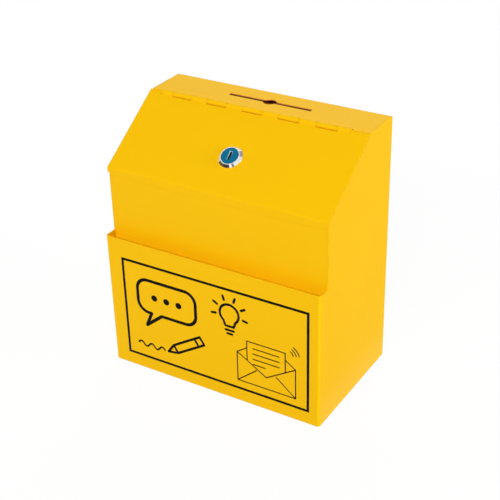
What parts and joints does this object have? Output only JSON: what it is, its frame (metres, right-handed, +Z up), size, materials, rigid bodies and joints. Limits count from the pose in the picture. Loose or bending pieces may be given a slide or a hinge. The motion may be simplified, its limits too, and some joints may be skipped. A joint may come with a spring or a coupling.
{
  "type": "suggestion box",
  "caption": "Folded-steel suggestion box with a slotted top plate, a sloping hinged lid with a cam lock and an open card pocket across the lower front.",
  "frame": {"origin": "on the base plane, below the middle of the box", "axes": "+X to the right as seen from the front, +Y from the front to the back, +Z up"},
  "size_m": [0.2174, 0.127, 0.243],
  "materials": {
    "yellow_powder_coat": "smooth semi-gloss powder coat on folded steel sheet",
    "bright_chrome": "polished",
    "zinc_plated_steel": "bright zinc plating",
    "hinge_wire_steel": "drawn wire",
    "lock_brass": "machined",
    "blue_plug_face": "glossy blue cap"
  },
  "bodies": {
    "box": {"outer_wrap": "yellow_powder_coat", "back_shell": "yellow_powder_coat", "front_panel": "yellow_powder_coat", "hinge_pin": "hinge_wire_steel"},
    "lid": {"lid": "yellow_powder_coat", "lock_housing": "bright_chrome", "lock_washer": "zinc_plated_steel", "lock_nut": "zinc_plated_steel"},
    "lock": {"lock_plug": "lock_brass", "plug_face": "blue_plug_face", "wafer_1": "lock_brass", "wafer_2": "lock_brass", "wafer_3": "lock_brass", "wafer_4": "lock_brass", "wafer_5": "lock_brass", "wafer_spring_1": "zinc_plated_steel", "wafer_spring_2": "zinc_plated_steel", "wafer_spring_3": "zinc_plated_steel", "wafer_spring_4": "zinc_plated_steel", "wafer_spring_5": "zinc_plated_steel", "stop_washer": "zinc_plated_steel", "cam": "zinc_plated_steel", "cam_washer": "zinc_plated_steel", "cam_screw": "zinc_plated_steel"}
  },
  "joints": [
    {"name": "lid_hinge", "type": "hinge", "parent": "box", "child": "lid", "pos_m": [0, 0.02, 0.24042], "axis": [-1, 0, 0], "range_deg": [0, 130]},
    {"name": "lock_turn", "type": "hinge", "parent": "lid", "child": "lock", "pos_m": [0, -0.02137, 0.21382], "axis": [0, 0.5592, -0.829], "range_deg": [0, 90]}
  ]
}
